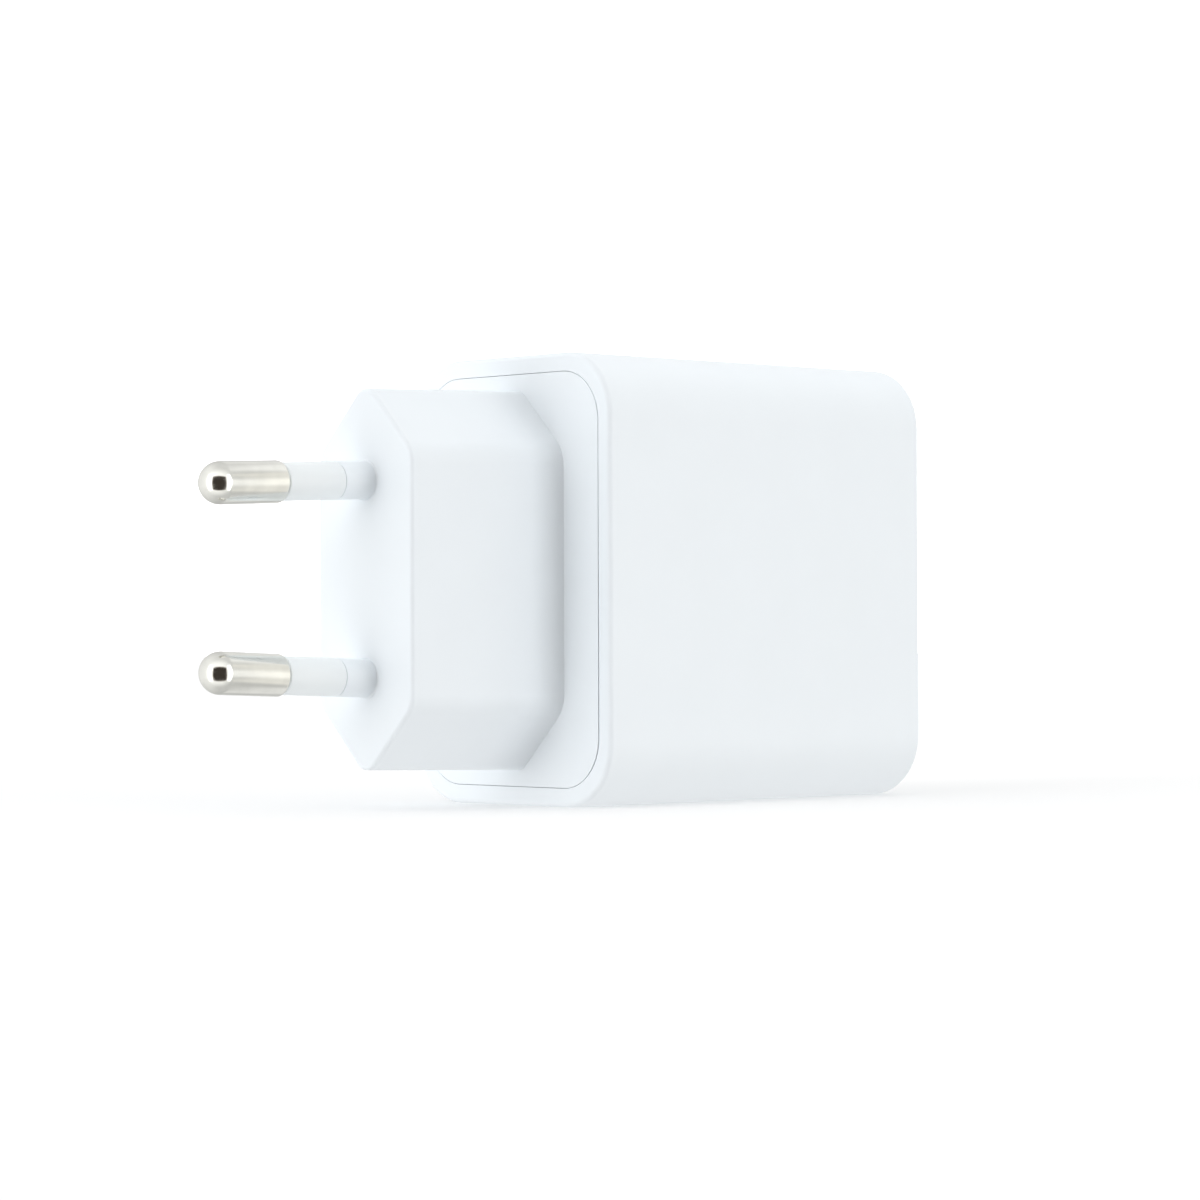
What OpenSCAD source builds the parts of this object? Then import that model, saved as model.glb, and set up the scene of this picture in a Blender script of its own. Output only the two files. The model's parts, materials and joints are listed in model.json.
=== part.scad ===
// USB wall charger with a two-pin plug.
// Frame: X across the width, Y from the plug pins (-Y) to the USB port (+Y), Z up.
// The charger stands on the short side of its housing, at z = 0.

/* [Housing] */
// Width of the housing
body_w = 28.2; // [28:0.1:32]
// Height of the housing, along the row of pins
body_h = 43.5; // [43:0.1:48]
// Depth of the housing, from the plug side to the USB side
body_depth = 43.3; // [43:0.1:50]
// Radius of the housing's four long corners
corner_r = 6.2; // [5.5:0.1:7]
// Thickness of the housing's side walls
wall = 1.8; // [1.5:0.1:1.8]
// Thickness of the wall around the USB port
back_wall = 2.0; // [1.6:0.1:2.2]

/* [Plug neck] */
// Length of the neck that enters the wall socket
neck_len = 18.3; // [18:0.1:20]
// Width of the neck at the face that meets the socket
neck_w = 13.7; // [13.6:0.1:14.4]
// Height of the neck at the face that meets the socket
neck_h = 35.8; // [34.6:0.1:36]
// Width of the neck where it meets the cover panel
neck_root_w = 15.3; // [14.6:0.1:16]
// Height of the neck where it meets the cover panel
neck_root_h = 36.9; // [36.2:0.1:37.2]
// Size of the neck's 45 degree corner cuts
neck_cut = 6.0; // [5.4:0.1:6]
// Thickness of the neck's walls
neck_wall = 1.6; // [1.2:0.1:1.6]

/* [Pins] */
// Length of the pins beyond the face
pin_len = 19; // [18.5:0.1:19.5]
// Diameter of the bare end of a pin
pin_d = 4.0; // [3.94:0.02:4.06]
// Distance between the pins' axes at the face
pin_pitch = 18.6; // [18:0.1:19.2]
// Distance between the pins' axes at the tips
tip_pitch = 17.1; // [17:0.1:18]
// Diameter of a pin's insulating sleeve
sleeve_d = 3.6; // [3.4:0.05:3.8]
// Distance from the face to the bare metal
bare_from = 10.2; // [10:0.1:11]
// Length of the collar moulded round a pin's root
collar_len = 3.6; // [3:0.1:4]

/* [USB port] */
// Inner width of the port's metal shell
port_w = 12.5; // [12.45:0.05:12.6]
// Inner height of the port's metal shell
port_t = 5.12; // [5.08:0.02:5.2]
// Length of the port's metal shell
shell_len = 14; // [13.5:0.1:15]
// Thickness of the shell's sheet metal
sheet_t = 0.3; // [0.25:0.05:0.35]
// How far the shell's mouth sits inside the housing's face
mouth_recess = 0.5; // [0.3:0.1:0.8]

/* [Circuit board] */
// Thickness of the circuit board
board_t = 1.6; // [1.2:0.2:1.6]
// Clearance between parts that are pushed together
gap = 0.1; // [0.05:0.01:0.12]

/* [Hidden] */
$fn = 64;
total_len = pin_len + neck_len + body_depth;
back_y = total_len / 2;
front_y = back_y - body_depth;
face_y = front_y - neck_len;
mid_z = body_h / 2;
pin_tilt = atan((pin_pitch - tip_pitch) / 2 / pin_len);

// Cavity of the housing, and the cover panel that closes it
cavity_w = body_w - 2 * wall;
cavity_h = body_h - 2 * wall;
cavity_r = corner_r - 1.3;
panel_t = 2;
skirt_len = 3.5;
skirt_wall = 1.2;
panel_back = front_y + panel_t;
skirt_back = panel_back + skirt_len;
catch_w = 5;
catch_proud = 0.5;
catch_y = panel_back + 1.2;
catch_len = 1.2;
moat_w = 0.3;
moat_deep = 0.35;
hollow_w = neck_w - 2 * neck_wall;
hollow_h = neck_h - 2 * neck_wall;
hollow_cut = neck_cut - neck_wall * (2 - sqrt(2));

// Pins: a thin core runs through the sleeve, the collar and the face wall
core_r = 1.5;
face_wall = 2.6;
flange_r = 2.6;
flange_t = 2;
tail_len = 9.2;
retainer_t = 3;
flange_s = face_wall + gap;
retainer_s = flange_s + flange_t + 2 * gap;
eye_s = retainer_s + retainer_t + gap;
strip_t = 0.4;

// Port: the shell, the tongue inside it and its four contacts
shell_x = port_t / 2 + sheet_t;
shell_z = port_w / 2 + sheet_t;
mouth_y = back_y - mouth_recess;
shell_back = mouth_y - shell_len;
block_front = mouth_y - 12;
tongue_front = mouth_y - 2.9;
tongue_w = 11.1;
tongue_top = port_t / 2 - 0.66;
tongue_low = tongue_top - 1.84;
contact_z = [-3.5, -1, 1, 3.5];
contact_w = 1;
contact_t = 0.2;
slot_depth = 1;
spring_root_r = 0.2;
spring_root_y = block_front + 0.7;
spring_bump_y = block_front + 5.9;
spring_tip_y = block_front + 7.9;

// Circuit board: parts stand on its +X side, small chips lie on its -X side
board_x = -shell_x - 0.05;
board_low = board_x - board_t;
board_front = skirt_back + 0.2;
board_back = back_y - back_wall - 0.3;
board_half = cavity_h / 2 - 0.6;
rail_w = 1.6;
rail_deep = 1.6;
lead_r = 0.3;
hole_r = 0.32;

// Pin contact strips
strip_w = 4.2;
strip_on_board = 3;

// Fusible resistor, filter inductor and bridge rectifier beside the contact strips
resistor_y = board_front + 1.7;
resistor_x = board_x + 1.9;
resistor_z = mid_z - 2;
resistor_half = 3.5;
resistor_r = 1.6;
inductor_y = board_front + 2.4;
inductor_r = 2.3;
inductor_z = mid_z + 14.85;
bridge_y = board_front + 2.9;
bridge_z = mid_z - 14.85;

// Electrolytic capacitors: two lie along Y beside the transformer, two stand beside the port
bulk_r = 4.3;
bulk_len = 13;
bulk_y = board_front + 6;
bulk_z = 13.9;
bulk_x = board_x + bulk_r + 0.3;
bulk_lead_y = bulk_y - 0.7;
out_r = 3.15;
out_h = 9;
out_y = board_back - 5;
out_z = 12.6;
seal_t = 1.6;

// Transformer: the winding's axis runs along Y
core_y0 = board_front + 7.2;
core_len = 13.6;
core_y1 = core_y0 + core_len;
core_mid_y = (core_y0 + core_y1) / 2;
core_half_z = 8;
core_leg = 2.2;
core_end = 2.4;
post_half = 2.4;
core_x = board_x + 7.1;
tube_half = post_half + 0.1;
tube_wall = 0.6;
flange_half = 5.6;
bobbin_t = 0.7;
wind_half = 5.3;
tape_t = 0.15;
pin_row = [-5, -1.8, 1.8, 5];

// Safety capacitor between the two sides of the transformer
disc_y = core_y1 + 2.3;
disc_z = mid_z + 12.75;
disc_r = 3.5;
disc_t = 3;
disc_x = board_x + disc_r + 0.8;

// Chips under the board: [y, z] of the lowest corner, then the body's size
chip_t = 1.45;
chip_y = 4.9;
chip_z = 3.9;
controller_at = [core_mid_y - 3, mid_z - 2];
rectifier_at = [out_y - 3, mid_z - 4.5];
opto_at = [core_y1 - 2.5, mid_z - 11.2];
opto_y = 5.4;
opto_z = 4.5;
opto_t = 2.2;
leg_out = 0.9;
leg_w = 0.45;
sheet_x = -cavity_w / 2 + 0.05;
sheet_thick = 0.2;

// [y, z] of every wire lead that is soldered into the board
resistor_leads = [for (s = [-1, 1]) [resistor_y, resistor_z + s * (resistor_half + 0.9)]];
inductor_leads = [for (s = [-1, 1]) [inductor_y + s * 1.2, inductor_z]];
bulk_leads = [for (side = [-1, 1], s = [-1, 1]) [bulk_lead_y, mid_z + side * bulk_z + s * 1.75]];
core_leads = [for (y = [core_y0 + 1, core_y1 - 1], z = pin_row) [y, mid_z + z]];
disc_leads = [for (s = [-1, 1]) [disc_y, disc_z + s * 2.5]];
out_leads = [for (side = [-1, 1], s = [-1, 1]) [out_y + s * 1.25, mid_z + side * out_z]];
wire_leads = concat(resistor_leads, inductor_leads, bulk_leads, core_leads, disc_leads, out_leads);
contact_tail_y = shell_back - 0.9;
contact_leads = [for (z = contact_z) [contact_tail_y, mid_z + z]];

// ---------- shared shapes ----------

// A box between two corners
module block(low, high) {
    translate(low)
        cube(high - low);
}

// A rectangle with round corners, centred on the origin
module round_rect(w, h, r) {
    square([w - 2 * r, h], center = true);
    square([w, h - 2 * r], center = true);
    for (sx = [-1, 1], sz = [-1, 1])
        translate([sx * (w / 2 - r), sz * (h / 2 - r)])
            circle(r);
}

// A round-cornered bar along Y, centred on the pins' mid plane
module bar(w, h, r, y0, y1) {
    translate([0, y0, mid_z])
        rotate([-90, 0, 0])
            linear_extrude(y1 - y0)
                round_rect(w, h, r);
}

// The neck's eight-sided outline
module neck_outline(w, h, cut) {
    half_flat = w / 2 - cut;
    side = h / 2 - cut;
    polygon([[half_flat, h / 2], [w / 2, side], [w / 2, -side], [half_flat, -h / 2],
        [-half_flat, -h / 2], [-w / 2, -side], [-w / 2, side], [-half_flat, h / 2]]);
}

module neck_bar(w, h, cut, y0, y1) {
    translate([0, y0, mid_z])
        rotate([-90, 0, 0])
            linear_extrude(y1 - y0)
                neck_outline(w, h, cut);
}

// Children drawn along +Z from the face run along a pin's tilted axis
module on_pin(side) {
    translate([0, face_y, mid_z + side * pin_pitch / 2])
        rotate([90 + side * pin_tilt, 0, 0])
            children();
}

// A cylinder along X, Y or Z from a start point
module rod_x(p, r, len) {
    translate(p)
        rotate([0, 90, 0])
            cylinder(r = r, h = len);
}

module rod_y(p, r, len) {
    translate(p)
        rotate([-90, 0, 0])
            cylinder(r = r, h = len);
}

// ---------- housing and cover ----------

module housing() {
    color("white")
        difference() {
            union() {
                difference() {
                    bar(body_w, body_h, corner_r, front_y, back_y);
                    bar(cavity_w, cavity_h, cavity_r, front_y - 1, back_y - back_wall);
                }
                board_rails();
            }
            bar(2 * shell_x + 0.3, 2 * shell_z + 0.3, 0.8, back_y - back_wall - 1, back_y + 1);
            bar(2 * shell_x + 1.3, 2 * shell_z + 1.3, 1.2, mouth_y, back_y + 1);
            catch_pockets();
        }
}

// Two pairs of rails along the short sides hold the board's long edges
module board_rails() {
    rail_z = cavity_h / 2 - rail_deep;
    for (side = [-1, 1], x = [board_low - gap - rail_w, board_x + gap])
        translate([x, skirt_back + 0.1, mid_z + (side > 0 ? rail_z : -rail_z - rail_deep - 0.2)])
            cube([rail_w, back_y - back_wall - skirt_back, rail_deep + 0.2]);
}

// The cover's catches snap into these pockets
module catch_pockets() {
    for (side = [-1, 1], z = [-9, 9])
        translate([side * (cavity_w / 2 + 0.2), catch_y + catch_len / 2, mid_z + z])
            cube([0.8 + 2 * gap, catch_len + 2 * gap, catch_w + 2 * gap], center = true);
}

module plug_cover() {
    panel_w = cavity_w - 2 * gap;
    panel_h = cavity_h - 2 * gap;
    panel_r = cavity_r - gap;
    color("white")
        difference() {
            union() {
                bar(panel_w, panel_h, panel_r, front_y, panel_back);
                cover_skirt(panel_w, panel_h, panel_r);
                difference() {
                    neck_outside();
                    collar_moats();
                }
                for (side = [-1, 1])
                    on_pin(side)
                        translate([0, 0, -0.5])
                            cylinder(d = sleeve_d, h = collar_len + 0.5);
                for (side = [-1, 1], z = [-9, 9])
                    translate([side * (panel_w / 2), catch_y + catch_len / 2, mid_z + z])
                        cube([catch_proud * 2, catch_len, catch_w], center = true);
            }
            neck_bar(hollow_w, hollow_h, hollow_cut, face_y + face_wall, skirt_back + 1);
            for (side = [-1, 1])
                on_pin(side)
                    translate([0, 0, -face_wall - 1])
                        cylinder(r = core_r + 0.05, h = face_wall + collar_len + 2);
        }
}

// A shallow ring sunk into the face round each collar
module collar_moats() {
    for (side = [-1, 1])
        on_pin(side)
            translate([0, 0, -moat_deep])
                cylinder(d = sleeve_d + 2 * moat_w, h = moat_deep + 1);
}

module cover_skirt(w, h, r) {
    difference() {
        bar(w, h, r, panel_back, skirt_back);
        bar(w - 2 * skirt_wall, h - 2 * skirt_wall, r - skirt_wall, panel_back - 1, skirt_back + 1);
    }
}

// The neck tapers a little towards the socket and flares where it leaves the panel
module neck_outside() {
    flare_y = front_y - 1;
    flare_w = neck_w + 0.7;
    flare_h = neck_h + 0.7;
    difference() {
        union() {
            hull() {
                neck_bar(neck_w, neck_h, neck_cut, face_y - 0.2, face_y);
                neck_bar(flare_w, flare_h, neck_cut, flare_y, flare_y + 0.01);
            }
            hull() {
                neck_bar(flare_w, flare_h, neck_cut, flare_y, flare_y + 0.01);
                neck_bar(neck_root_w, neck_root_h, neck_cut, front_y, front_y + 0.5);
            }
        }
        block([-body_w, face_y - 5, 0], [body_w, face_y, body_h]);
    }
}

// ---------- pins ----------

// Half section of a pin: domed bare end, thin core, flange behind the face wall
module pin_profile() {
    intersection() {
        union() {
            translate([-core_r, -tail_len])
                square([2 * core_r, tail_len + bare_from + 0.5]);
            translate([-pin_d / 2, bare_from])
                square([pin_d, pin_len - pin_d / 2 - bare_from]);
            translate([0, pin_len - pin_d / 2])
                circle(d = pin_d);
            translate([-flange_r, -flange_s - flange_t])
                square([2 * flange_r, flange_t]);
        }
        translate([0, -tail_len - 1])
            square([pin_d, pin_len + tail_len + 2]);
    }
}

module pin(side) {
    color("gainsboro")
        on_pin(side)
            rotate_extrude()
                pin_profile();
}

module pin_sleeve(side) {
    color("whitesmoke")
        on_pin(side)
            translate([0, 0, collar_len])
                difference() {
                    cylinder(d = sleeve_d, h = bare_from - collar_len - gap / 2);
                    translate([0, 0, -1])
                        cylinder(r = core_r + 0.05, h = bare_from);
                }
}

// An insulating block behind the pins' flanges keeps the pins from being pushed in
module pin_retainer() {
    y0 = face_y + retainer_s;
    color("ivory")
        difference() {
            neck_bar(hollow_w - 0.3, hollow_h - 0.3, hollow_cut - 0.1, y0, y0 + retainer_t);
            for (side = [-1, 1])
                on_pin(side)
                    translate([0, 0, -retainer_s - retainer_t - 1])
                        cylinder(r = core_r + 0.1, h = retainer_t + 2);
        }
}

// A stamped strip has an eye on the pin's tail and lies on the board at its other end
module contact_strip(side) {
    y0 = face_y + eye_s;
    z0 = mid_z + side * (pin_pitch / 2 + 0.2) - strip_w / 2;
    color("goldenrod")
        difference() {
            union() {
                block([board_x, y0, z0], [board_x + strip_t, board_front + strip_on_board, z0 + strip_w]);
                block([board_x, y0, z0], [core_r + 1, y0 + strip_t, z0 + strip_w]);
            }
            on_pin(side)
                translate([0, 0, -tail_len - 1])
                    cylinder(r = core_r + 0.1, h = 3);
        }
}

// ---------- circuit board and what is soldered to it ----------

module main_board() {
    slot_y = core_y1 - 0.1;
    color("darkgreen")
        difference() {
            block([board_low, board_front, mid_z - board_half], [board_x, board_back, mid_z + board_half]);
            block([board_low - 1, slot_y, mid_z - 12], [board_x + 1, slot_y + 0.7, mid_z - 2]);
            for (side = [-1, 1])
                translate([board_low, shell_back + 4.7, mid_z + side * (shell_z - sheet_t / 2)])
                    cube([2 * board_t + 1, 2, 0.6], center = true);
            for (p = wire_leads)
                rod_x([board_low - 1, p[0], p[1]], hole_r, board_t + 2);
            for (p = contact_leads)
                rod_x([board_low - 1, p[0], p[1]], 0.6, board_t + 2);
        }
}

// A small cone of solder closes each lead's hole under the board
module solder_joints() {
    color("silver")
        for (p = concat(wire_leads, contact_leads))
            translate([board_low, p[0], p[1]])
                rotate([0, -90, 0])
                    cylinder(r1 = 0.8, r2 = 0.3, h = 0.7);
}

// A straight lead from a height above the board down through its hole
module lead(p, x) {
    rod_x([board_low, p[0], p[1]], lead_r, x - board_low);
}

module fusible_resistor() {
    color("steelblue")
        translate([resistor_x, resistor_y, resistor_z - resistor_half])
            cylinder(r = resistor_r, h = 2 * resistor_half);
}

module fusible_resistor_leads() {
    color("silver")
        for (p = resistor_leads) {
            lead(p, resistor_x);
            translate([resistor_x, p[0], p[1]])
                sphere(r = lead_r);
            translate([resistor_x, p[0], p[1] > resistor_z ? p[1] - 0.9 : p[1]])
                cylinder(r = lead_r, h = 0.9);
        }
}

// Inductor: a ferrite bobbin with copper wire between its two discs
module inductor_core() {
    color("dimgray") {
        rod_x([board_x + 0.3, inductor_y, inductor_z], inductor_r, 1);
        rod_x([board_x + 1.3, inductor_y, inductor_z], 1.2, 4);
        rod_x([board_x + 5.3, inductor_y, inductor_z], inductor_r, 1);
    }
}

module inductor_winding() {
    color("chocolate") {
        difference() {
            rod_x([board_x + 1.35, inductor_y, inductor_z], inductor_r - 0.3, 3.9);
            rod_x([board_x + 1, inductor_y, inductor_z], 1.25, 5);
        }
    }
}

module inductor_leads() {
    color("silver")
        for (p = inductor_leads)
            lead(p, board_x + 0.3);
}

// A box-shaped chip on one face of the board, with gull-wing legs drawn by chip_legs
module bridge_rectifier() {
    color("dimgray")
        block([board_x + 0.15, bridge_y - 2, bridge_z - 2.35],
            [board_x + 2.65, bridge_y + 2, bridge_z + 2.35]);
}

module chip(at, size_y, size_z, t) {
    color("dimgray")
        block([board_low - 0.1 - t, at[0], at[1]], [board_low - 0.1, at[0] + size_y, at[1] + size_z]);
}

// A row of legs along Y, on both Z sides of a chip under the board
module leg_rows(at, size_y, size_z, t, count) {
    step = size_y / count;
    for (i = [0:count - 1], z = [at[1] - leg_out, at[1] + size_z]) {
        y = at[0] + (i + 0.5) * step - leg_w / 2;
        block([board_low - 0.1 - t / 2, y, z], [board_low, y + leg_w, z + leg_out]);
    }
}

module chip_legs() {
    color("silver") {
        leg_rows(controller_at, chip_y, chip_z, chip_t, 4);
        leg_rows(rectifier_at, chip_y, chip_z, chip_t, 4);
        for (y = [opto_at[0] - leg_out, opto_at[0] + opto_y], z = [0.8, opto_z - 0.8 - leg_w])
            block([board_low - 0.1 - opto_t / 2, y, opto_at[1] + z],
                [board_low, y + leg_out, opto_at[1] + z + leg_w]);
        for (y = [bridge_y - 2 - leg_out, bridge_y + 2], z = [-1.9, 1.45])
            block([board_x, y, bridge_z + z], [board_x + 1.2, y + leg_out, bridge_z + z + leg_w]);
    }
}

module controller_chip() {
    chip(controller_at, chip_y, chip_z, chip_t);
}

module rectifier_chip() {
    chip(rectifier_at, chip_y, chip_z, chip_t);
}

module optocoupler() {
    chip(opto_at, opto_y, opto_z, opto_t);
}

// Ceramic chips in a small grid under the board
module surface_mount_parts() {
    color("tan")
        for (y = [-7, -4, -1], z = [6.25, 8.75, 11.25])
            translate([board_low - 0.45, core_mid_y + y, mid_z + z])
                cube([0.8, 1.6, 0.8], center = true);
}

// ---------- electrolytic capacitors ----------

// A can along +Z with a rolled groove, open at the seal's end
module can(r, h) {
    difference() {
        rotate_extrude()
            polygon([[0, 0], [r, 0], [r, 1.6], [r - 0.35, 1.9], [r - 0.35, 2.1], [r, 2.4],
                [r, h - 0.3], [r - 0.3, h], [0, h]]);
        translate([0, 0, -1])
            cylinder(r = r - 0.45, h = seal_t + 1);
    }
}

module bulk_place(side) {
    translate([bulk_x, bulk_y, mid_z + side * bulk_z])
        rotate([-90, 0, 0])
            children();
}

module out_place(side) {
    translate([board_x + 0.3, out_y, mid_z + side * out_z])
        rotate([0, 90, 0])
            children();
}

module bulk_can(side) {
    color("silver")
        bulk_place(side)
            can(bulk_r - 0.2, bulk_len);
}

module bulk_sleeve(side) {
    color("midnightblue")
        bulk_place(side)
            difference() {
                cylinder(r = bulk_r, h = bulk_len - 0.2);
                translate([0, 0, -1])
                    cylinder(r = bulk_r - 0.18, h = bulk_len + 2);
            }
}

module seal(r) {
    cylinder(r = r - 0.5, h = seal_t - 0.05);
}

module bulk_capacitor_seals() {
    color("black")
        for (side = [-1, 1])
            bulk_place(side)
                seal(bulk_r - 0.2);
}

module bulk_capacitor_leads() {
    color("silver")
        for (p = bulk_leads) {
            lead(p, bulk_x);
            translate([bulk_x, p[0], p[1]])
                sphere(r = lead_r);
            rod_y([bulk_x, p[0], p[1]], lead_r, bulk_y - bulk_lead_y);
        }
}

module out_can(side) {
    color("silver")
        out_place(side)
            can(out_r, out_h);
}

module output_capacitor_seals() {
    color("black")
        for (side = [-1, 1])
            out_place(side)
                seal(out_r);
}

module output_capacitor_leads() {
    color("silver")
        for (p = out_leads)
            lead(p, board_x + 0.3);
}

// ---------- transformer ----------

// One half of the core, from its end plate to the middle of the transformer
module core_half(y_end, y_in) {
    y0 = min(y_end, y_in);
    y1 = max(y_end, y_in);
    plate = y_end < y_in ? [y_end, y_end + core_end] : [y_end - core_end, y_end];
    post = y_end < y_in ? [y0, y1 - 0.1] : [y0 + 0.1, y1];
    color("dimgray") {
        block([core_x - post_half, plate[0], mid_z - core_half_z],
            [core_x + post_half, plate[1], mid_z + core_half_z]);
        block([core_x - post_half, post[0], mid_z - post_half],
            [core_x + post_half, post[1], mid_z + post_half]);
        for (side = [-1, 1])
            translate([core_x, (y0 + y1) / 2, mid_z + side * (core_half_z - core_leg / 2)])
                cube([2 * post_half, y1 - y0, core_leg], center = true);
    }
}

// A square ring round the core's post
module ring(half_in, half_out, r, y0, y1) {
    difference() {
        translate([core_x, 0, 0])
            bar(2 * half_out, 2 * half_out, r, y0, y1);
        translate([core_x, 0, 0])
            bar(2 * half_in, 2 * half_in, 0.3, y0 - 1, y1 + 1);
    }
}

module transformer_bobbin() {
    inner_y0 = core_y0 + core_end + 0.1;
    inner_y1 = core_y1 - core_end - 0.1;
    foot_top = core_x - post_half - 0.1;
    color("black")
        difference() {
            union() {
                ring(tube_half, tube_half + tube_wall, 0.5, inner_y0, inner_y1);
                ring(tube_half, flange_half, 0.5, inner_y0, inner_y0 + bobbin_t);
                ring(tube_half, flange_half, 0.5, inner_y1 - bobbin_t, inner_y1);
                for (y = [core_y0, inner_y1 - bobbin_t])
                    block([board_x + 0.2, y, mid_z - 6.2],
                        [foot_top, y + core_end + 0.1 + bobbin_t, mid_z + 6.2]);
            }
            for (p = core_leads)
                rod_x([board_x, p[0], p[1]], hole_r, 2.5);
        }
}

module transformer_windings() {
    y0 = core_y0 + core_end + 0.15 + bobbin_t;
    y1 = core_y1 - core_end - 0.15 - bobbin_t;
    color("chocolate")
        ring(tube_half + tube_wall + 0.05, wind_half, 2, y0, y1);
}

module transformer_tape() {
    y0 = core_y0 + core_end + 0.3 + bobbin_t;
    y1 = core_y1 - core_end - 0.3 - bobbin_t;
    color("gold")
        difference() {
            translate([core_x, 0, 0])
                bar(2 * (wind_half + tape_t + 0.05), 2 * (wind_half + tape_t + 0.05), 2.2, y0, y1);
            translate([core_x, 0, 0])
                bar(2 * wind_half + 0.1, 2 * wind_half + 0.1, 2.05, y0 - 1, y1 + 1);
        }
}

module transformer_pins() {
    color("silver")
        for (p = core_leads)
            lead(p, board_x + 2.4);
}

// ---------- safety capacitor ----------

module safety_capacitor() {
    color("royalblue")
        translate([disc_x, disc_y - disc_t / 2, disc_z])
            rotate([-90, 0, 0])
                rotate_extrude()
                    polygon([[0, 0], [disc_r - 1, 0], [disc_r, 1], [disc_r, disc_t - 1],
                        [disc_r - 1, disc_t], [0, disc_t]]);
}

module safety_capacitor_leads() {
    lead_in = 2.5 - lead_r;
    color("silver")
        for (p = disc_leads)
            lead(p, disc_x - sqrt(disc_r * disc_r - lead_in * lead_in));
}

// ---------- USB port ----------

module usb_shell() {
    color("silver") {
        difference() {
            bar(2 * shell_x, 2 * shell_z, 0.9, shell_back, mouth_y);
            bar(port_t, port_w, 0.6, shell_back - 1, mouth_y + 1);
        }
        for (side = [-1, 1]) {
            leg_z = mid_z + side * (shell_z - sheet_t / 2) - sheet_t / 2;
            translate([board_low - 0.8, shell_back + 4, leg_z])
                cube([board_t + 2.2, 1.4, sheet_t]);
        }
    }
}

// A block fills the back of the shell and carries the tongue
module usb_insulator() {
    spring_x = tongue_low + 0.5;
    color("white")
        difference() {
            union() {
                bar(port_t - 0.1, port_w - 0.1, 0.5, shell_back + 0.1, block_front);
                block([tongue_low, block_front - 0.5, mid_z - tongue_w / 2],
                    [tongue_top, tongue_front, mid_z + tongue_w / 2]);
            }
            for (z = contact_z) {
                block([tongue_low - 1, block_front, mid_z + z - contact_w / 2 - 0.1],
                    [tongue_low + slot_depth, spring_tip_y + 0.5, mid_z + z + contact_w / 2 + 0.1]);
                block([spring_x - 0.15, shell_back - 1, mid_z + z - contact_w / 2 - 0.05],
                    [spring_x + 0.15, block_front + 1, mid_z + z + contact_w / 2 + 0.05]);
            }
        }
}

// Each contact's fixed half runs back through the block and down into the board
module usb_contact_legs() {
    spring_x = tongue_low + 0.5;
    color("goldenrod")
        for (z = contact_z) {
            block([spring_x - contact_t / 2, contact_tail_y - contact_t / 2, mid_z + z - contact_w / 2],
                [spring_x + contact_t / 2, spring_root_y - spring_root_r - 0.1, mid_z + z + contact_w / 2]);
            block([board_low, contact_tail_y - contact_t / 2, mid_z + z - 0.4],
                [spring_x, contact_tail_y + contact_t / 2, mid_z + z + 0.4]);
        }
}

// Each contact's free half is a leaf with a rolled root, about which it bends into its slot
module usb_contact_springs() {
    half = contact_t / 2;
    root_x = tongue_low + 0.5;
    bump_x = tongue_low - 0.36;
    tip_x = tongue_low + 0.3;
    color("goldenrod")
        for (z = contact_z)
            translate([0, 0, mid_z + z - contact_w / 2])
                linear_extrude(contact_w) {
                    translate([root_x, spring_root_y])
                        circle(r = spring_root_r);
                    polygon([[root_x - half, spring_root_y], [root_x + half, spring_root_y],
                        [bump_x + half, spring_bump_y], [tip_x + half, spring_tip_y],
                        [tip_x - half, spring_tip_y], [bump_x - half, spring_bump_y]]);
                }
}

// ---------- insulation ----------

module insulation_sheet() {
    color("lightyellow")
        block([sheet_x, board_front + 1.5, mid_z - 14.5],
            [sheet_x + sheet_thick, board_back - 1, mid_z + 14.5]);
}

// A soft pad carries heat from the controller chip to the housing's wide side
module thermal_pad() {
    color("lightsteelblue")
        block([sheet_x + sheet_thick, controller_at[0] - 0.5, controller_at[1] - 0.3],
            [board_low - 0.1 - chip_t, controller_at[0] + chip_y + 0.5, controller_at[1] + chip_z + 0.3]);
}

module pin_live() {
    pin(1);
}

module pin_neutral() {
    pin(-1);
}

module pin_sleeve_live() {
    pin_sleeve(1);
}

module pin_sleeve_neutral() {
    pin_sleeve(-1);
}

module contact_strip_live() {
    contact_strip(1);
}

module contact_strip_neutral() {
    contact_strip(-1);
}

module bulk_capacitor_can_a() {
    bulk_can(1);
}

module bulk_capacitor_can_b() {
    bulk_can(-1);
}

module bulk_capacitor_sleeve_a() {
    bulk_sleeve(1);
}

module bulk_capacitor_sleeve_b() {
    bulk_sleeve(-1);
}

module transformer_core_front() {
    core_half(core_y0, core_mid_y);
}

module transformer_core_rear() {
    core_half(core_y1, core_mid_y);
}

module output_capacitor_a() {
    out_can(1);
}

module output_capacitor_b() {
    out_can(-1);
}

housing();
plug_cover();
pin_live();
pin_neutral();
pin_sleeve_live();
pin_sleeve_neutral();
pin_retainer();
contact_strip_live();
contact_strip_neutral();
main_board();
solder_joints();
fusible_resistor();
fusible_resistor_leads();
inductor_core();
inductor_winding();
inductor_leads();
bridge_rectifier();
bulk_capacitor_can_a();
bulk_capacitor_can_b();
bulk_capacitor_sleeve_a();
bulk_capacitor_sleeve_b();
bulk_capacitor_seals();
bulk_capacitor_leads();
transformer_core_front();
transformer_core_rear();
transformer_bobbin();
transformer_windings();
transformer_tape();
transformer_pins();
safety_capacitor();
safety_capacitor_leads();
optocoupler();
controller_chip();
rectifier_chip();
chip_legs();
surface_mount_parts();
output_capacitor_a();
output_capacitor_b();
output_capacitor_seals();
output_capacitor_leads();
usb_shell();
usb_insulator();
usb_contact_legs();
usb_contact_springs();
insulation_sheet();
thermal_pad();
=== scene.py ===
"""Studio scene of a USB wall charger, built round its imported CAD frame."""

import json
import math

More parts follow.
